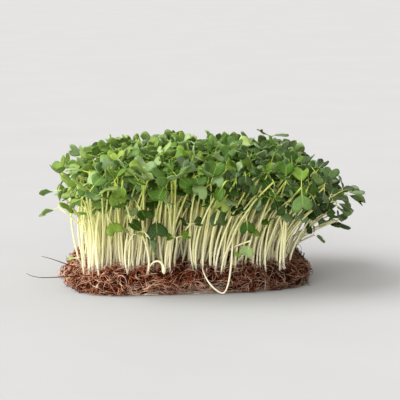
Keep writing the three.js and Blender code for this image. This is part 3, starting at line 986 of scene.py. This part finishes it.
def makeRoots(clumps, chance):
    curves = newCurves("roots", 1, 4)
    for number in range(rootSet["low"] + rootSet["front"]):
        angle = chance.uniform(*((0, 2 * math.pi) if number < rootSet["low"] else rootSet["frontAngle"]))
        length = chance.uniform(*rootSet["length"])
        turn = length / rootSet["perTurn"] * chance.choice((-1, 1))
        low = rootSet["lowest"] + rootSet["spread"] * chance.random() ** rootSet["spreadPower"]
        rise = chance.uniform(-rootSet["slope"], rootSet["slope"])
        radius = chance.uniform(*rootSet["radius"])
        points = []
        for step in range(5):
            share = 1.0 + chance.uniform(*rootSet["proud"]) - (rootSet["buried"] if step in (0, 4) else 0)
            z = low + rise * step / 4 + chance.uniform(-rootSet["jitter"], rootSet["jitter"])
            points.append(rimPoint(angle + turn * step / 4, share, max(bed, z)))
        addStrand(curves, points, (radius * 0.6, radius, radius, radius, radius * 0.4), 2)
    for clump in clumps:
        for sprout in clump["sprouts"]:
            for _ in range(rootSet["feet"]):
                angle, reach = chance.uniform(0, 2 * math.pi), chance.uniform(*rootSet["footReach"])
                x, y = sprout["root"][:2]
                foot = Vector((x, y, topOfMat(x, y) - wearAt(x) + rootSet["footOver"]))
                aside = Vector((math.cos(angle), math.sin(angle), 0))
                across = Vector((-aside.y, aside.x, 0)) * chance.uniform(-1, 1)
                points = [foot + aside * 0.1, foot + aside * 0.3 * reach + across * 0.4]
                points.append(foot + aside * reach + across)
                points.append(foot + aside * 1.3 * reach - Vector((0, 0, rootSet["footSunk"])))
                addStrand(curves, points, rootSet["footRadii"], 2)
    return meshOfCurves(curves)


def makeRootLoop():  # a stem that hangs down over the front and turns up again, and one that just comes up
    curves = newCurves("loop", 1, 8)
    addStrand(curves, rootLoop, rootLoopRadii, 8)
    addStrand(curves, newSprout, newSproutRadii, 6)
    return meshOfCurves(curves)


# Seed coats that cling to leaves

coatSet = {
    "seed": 3, "count": 7, "over": 50, "radius": 1.05, "scale": (0.8, 1.15, 0.75), "dent": 0.35,
    "dentWidth": 0.4, "above": 0.75, "near": [(-5, -38, 72), (66, -8, 70), (-30, -36, 66)],
    "dropped": (-73.5, -25, 11.4), "turn": 6, "tilt": 0.6,
}


def makeSeedCoats(clumps, chance):
    bm = bmesh.new()
    sprouts = [s for clump in clumps for s in clump["sprouts"] if s["tip"][2] > coatSet["over"]]
    chosen = chance.sample(sprouts, coatSet["count"])
    chosen += [min(sprouts, key=lambda sprout: math.dist(sprout["tip"], place)) for place in coatSet["near"]]
    for place in [Vector(coatSet["dropped"])] + [sprout["perch"] for sprout in chosen]:
        made = bmesh.ops.create_icosphere(bm, subdivisions=2, radius=coatSet["radius"])["verts"]
        for vert in made:
            dent = coatSet["dent"] * math.exp(-((vert.co.x / coatSet["dentWidth"]) ** 2)) * (vert.co.z > 0)
            x, y, z = (side * scale for side, scale in zip(vert.co, coatSet["scale"]))
            vert.co = (x, y, z * (1 - dent))
        turn = Matrix.Rotation(chance.uniform(0, coatSet["turn"]), 4, "Z")
        tilt = Matrix.Rotation(chance.uniform(-coatSet["tilt"], coatSet["tilt"]), 4, "X")
        bmesh.ops.transform(bm, matrix=Matrix.Translation(place) @ turn @ tilt, verts=made)
    bmesh.ops.scale(bm, vec=(mm, mm, mm), verts=bm.verts)
    return meshOfBmesh(bm)


def makeFloor():
    bm = bmesh.new()
    cells = floorSet["cells"]
    bmesh.ops.create_grid(bm, x_segments=cells, y_segments=cells, size=floorSet["reach"])
    mesh = meshOfBmesh(bm)
    mesh.materials.append(floorFinish().material)
    floor = bpy.data.objects.new("floor", mesh)
    scene.collection.objects.link(floor)


placeCamera()
hangLamps()
makeFloor()
print("stage set")

clumps, standing = placeSprouts()
fillStand(clumps, standing)
plantFrontal(clumps)
plantExtras(clumps)
print("sprouts placed:", sum(len(clump["sprouts"]) for clump in clumps))

chance = random.Random(fibreSet["seed"])
slab = makeSlab()
addPiece("coir_slab", slab, slabFinish(), "coir", "coir_mat")
shades = [  # name, number of fibres, colours, how far they stand off the mat
    ("dark", 2400, (tint(16, 6, 3), tint(42, 18, 10), tint(80, 40, 24)), (-0.3, 1.4)),
    ("russet", 2000, (tint(50, 16, 8), tint(106, 46, 26), tint(156, 84, 56)), (0.0, 2.6)),
    ("brown", 1900, (tint(96, 41, 22), tint(164, 88, 56), tint(212, 142, 104)), (0.4, 4.4)),
    ("tan", 1900, (tint(164, 110, 84), tint(214, 168, 138), tint(244, 218, 194)), (0.8, 5.6)),
]
for shade, count, colours, lift in shades:
    fibres = makeFibres(slab, chance, count, lift)
    addPiece(f"coir_fibres_{shade}", fibres, fibreFinish(f"coir_{shade}", *colours), "coir")
thread = fibreFinish("coir_thread", tint(60, 34, 26), tint(84, 50, 38), tint(120, 78, 58))
addPiece("coir_loops", makeLoops(), thread, "coir")
print("mat made")

chance = random.Random(rootSet["seed"])
pale = fibreFinish("root_pale", tint(150, 118, 104), tint(192, 168, 148), tint(224, 212, 194), 0.6)
addPiece("roots", makeRoots(clumps, chance), pale, "root")
addPiece("root_loop", makeRootLoop(), stemFinish("root_cream"), "root")
print("roots made")

chance = random.Random(bladeSet["seed"])
templates = [bladeTemplate(chance) for _ in range(bladeSet["shapes"])]
green, cream = leafFinish(), stemFinish("stem_pale")
for number, clump in enumerate(clumps, 1):
    node = f"sprouts_{number:02d}"
    addPiece(f"stems_{number:02d}", growStems(clump, chance), cream, "stem", node)
    addPiece(f"leaves_{number:02d}", growLeaves(clump, templates, chance), green, "leaf", node)
for template in templates:
    bpy.data.meshes.remove(template)
print("sprouts made")

chance = random.Random(coatSet["seed"])
husk = fibreFinish("seed_brown", tint(78, 34, 24), tint(112, 52, 34), tint(146, 80, 54), 0.5)
addPiece("seed_coats", makeSeedCoats(clumps, chance), husk, "seed_coat")
print("seed coats made")
